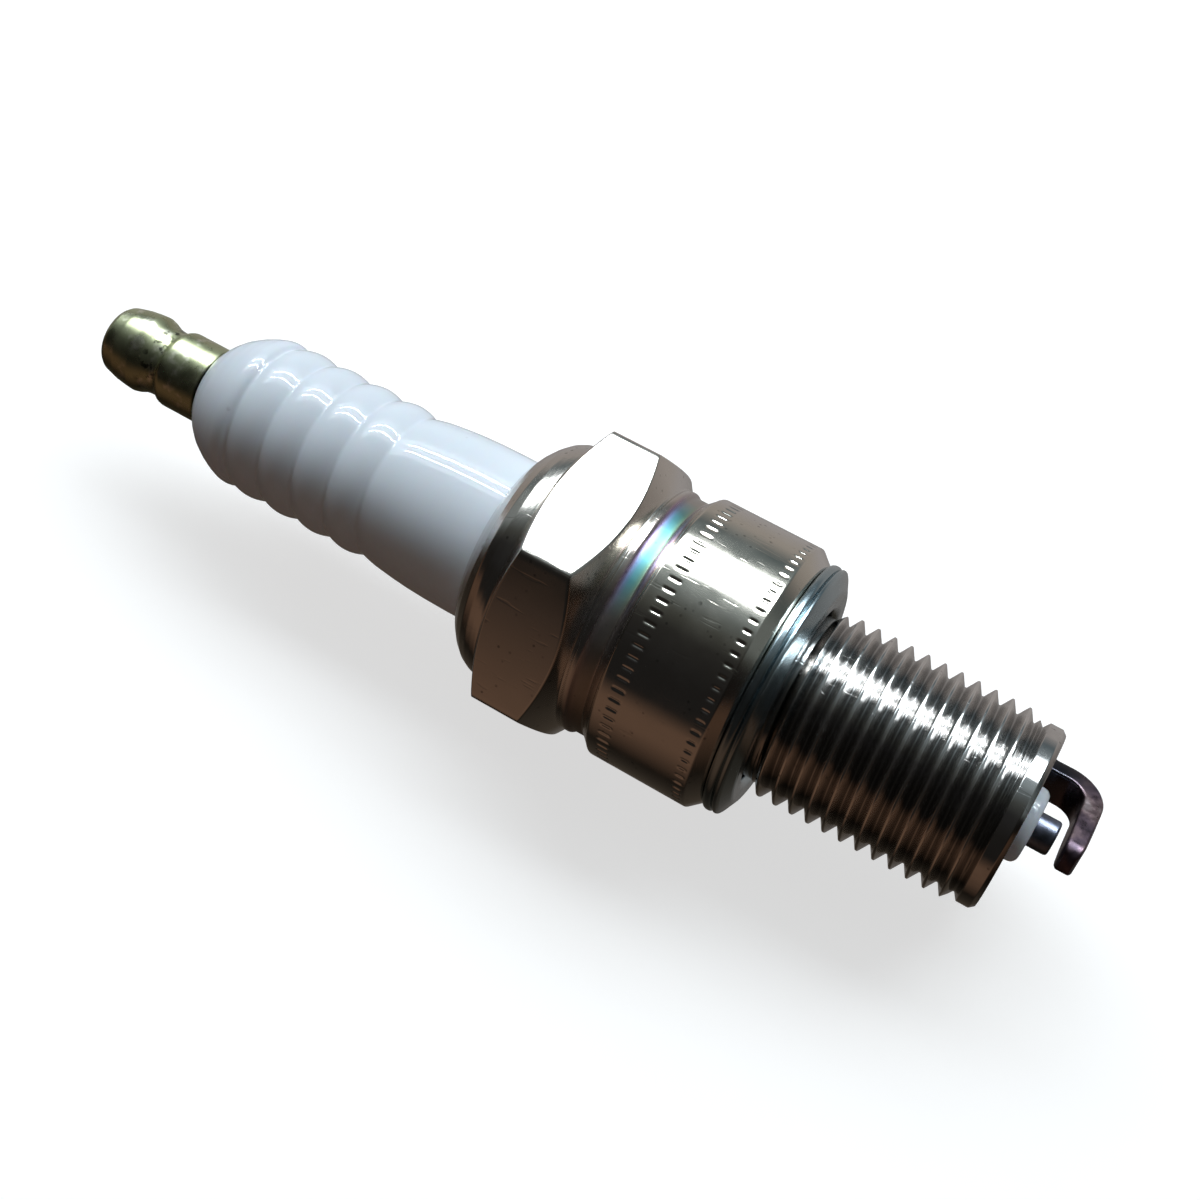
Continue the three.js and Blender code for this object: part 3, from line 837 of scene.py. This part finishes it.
def build_world():
    """A room that changes with the angle round the plug's axis; straight behind, it is plain and pale."""
    world = bpy.data.worlds.new("room")
    bpy.context.scene.world = world
    world.use_nodes = True
    made = Nodes(world.node_tree, "Generated")
    x, y, z = (made.axis(letter) for letter in "XYZ")
    turn = made.maths("ARCTAN2", z, made.maths("MULTIPLY", y, -1.0))
    around = made.range(turn, -math.pi, math.pi, 0, 1)
    room = made.ramp(around, [((degrees + 180) / 360, colour) for degrees, colour in ROOM])
    room = made.blend(made.range(x, 0.45, 0.85, 0, 1), room, TIP_SIDE_DIMMING, "MULTIPLY")
    room = made.blend(made.range(x, -0.6, -0.9, 0, 1), room, CAP_SIDE_DIMMING, "MULTIPLY")
    straight = made.node("ShaderNodeLightPath").outputs["Is Camera Ray"]
    background = made.tree.nodes["Background"]
    made.feed(background.inputs["Color"], made.blend(straight, room, ROOM_SEEN))
    made.feed(background.inputs["Strength"], 1.0)


def area_light(name, direction, distance, size, radiance, colour):
    """A rectangular lamp that faces the origin, long side along X, of a given surface brightness."""
    data = bpy.data.lights.new(name, "AREA")
    data.shape = "RECTANGLE"
    data.size, data.size_y = size
    data.energy = radiance * math.pi * size[0] * size[1]
    data.color = colour
    light = bpy.data.objects.new(name, data)
    away = Vector(direction).normalized()
    side = Vector((1, 0, 0))
    side = (side - away * side.dot(away)).normalized()
    up = away.cross(side)
    light.matrix_world = Matrix.Translation(away * distance) @ Matrix((side, up, away)).transposed().to_4x4()
    light.visible_camera = False
    bpy.context.scene.collection.objects.link(light)
    return light


def round_axis(degrees, lean=0.0):
    """A direction at an angle round the plug's axis, from -Y up towards +Z, leaning along X."""
    angle = math.radians(degrees)
    return (lean, -math.cos(angle), math.sin(angle))


def build_lights():
    """A window, two tube lamps that only show as streaks in reflections, and a weak bounce off the table."""
    area_light("window", round_axis(123, lean=-0.2), distance=0.6, size=(1.06, 0.33), radiance=4.0,
               colour=DAYLIGHT)
    for name, degrees, width in (("tube_low", 116, 0.018), ("tube_high", 128, 0.02)):
        tube = area_light(name, round_axis(degrees, lean=-0.12), distance=0.55, size=(0.8, width),
                          radiance=45, colour=DAYLIGHT)
        tube.visible_diffuse = False
    bounce = area_light("table_bounce", round_axis(-20), distance=0.6, size=(1.0, 0.4), radiance=0.16,
                        colour=WARM_BOUNCE)
    bounce.visible_glossy = False


def set_view():
    view = bpy.context.scene.view_settings
    view.view_transform = "Standard"
    view.look = "None"


def build_camera():
    flat = math.cos(CAMERA_ELEVATION)
    away = Vector((math.sin(CAMERA_AZIMUTH) * flat, -math.cos(CAMERA_AZIMUTH) * flat,
                   math.sin(CAMERA_ELEVATION)))
    level = Vector((math.cos(CAMERA_AZIMUTH), math.sin(CAMERA_AZIMUTH), 0))
    upright = away.cross(level)
    right = math.cos(CAMERA_ROLL) * level + math.sin(CAMERA_ROLL) * upright
    up = away.cross(right)
    data = bpy.data.cameras.new("camera")
    data.lens = CAMERA_LENS
    data.sensor_width = 36
    data.clip_start = 0.002
    camera = bpy.data.objects.new("camera", data)
    turn = Matrix((right, up, away)).transposed().to_4x4()
    camera.matrix_world = Matrix.Translation(CAMERA_TARGET + away * CAMERA_DISTANCE) @ turn
    bpy.context.scene.collection.objects.link(camera)
    bpy.context.scene.camera = camera


build_camera()
build_visible_pieces()
dress_inner_nodes()
build_floor()
build_world()
build_lights()
set_view()
